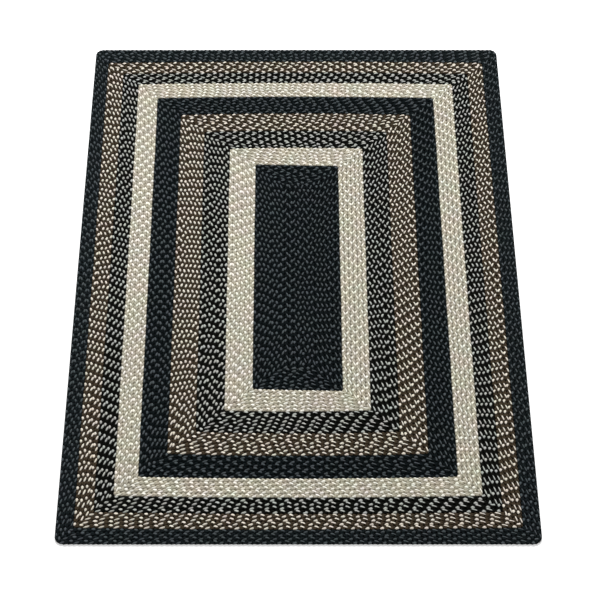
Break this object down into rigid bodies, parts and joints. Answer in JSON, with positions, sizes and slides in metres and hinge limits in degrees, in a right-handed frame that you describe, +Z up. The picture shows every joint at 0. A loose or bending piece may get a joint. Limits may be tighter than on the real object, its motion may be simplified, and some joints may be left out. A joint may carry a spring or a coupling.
{
  "type": "braided rug",
  "caption": "Flat rectangular rug of a three-strand braid sewn row to row round a long dark centre, in black, brown, speckled and cream borders.",
  "frame": {"origin": "middle of the rug's outline, at the height of the floor that it lies on", "axes": "+X across the rug's width, +Y along its length to the far end, +Z up out of the face"},
  "size_m": [1.219, 1.809, 0.008],
  "materials": {
    "black_braid": "matte spun yarn, two black strands and one charcoal",
    "brown_braid": "matte spun yarn, two dark brown strands and one cream",
    "speckled_braid": "matte spun yarn, two black strands and one pale grey",
    "cream_braid": "matte spun yarn, two oatmeal strands and one cream"
  },
  "bodies": {
    "root": {"edge_black": "black_braid", "outer_brown": "brown_braid", "outer_speckled": "speckled_braid", "outer_cream": "cream_braid", "middle_black": "black_braid", "inner_brown": "brown_braid", "inner_speckled": "speckled_braid", "inner_cream": "cream_braid", "centre_black": "black_braid"}
  },
  "joints": []
}
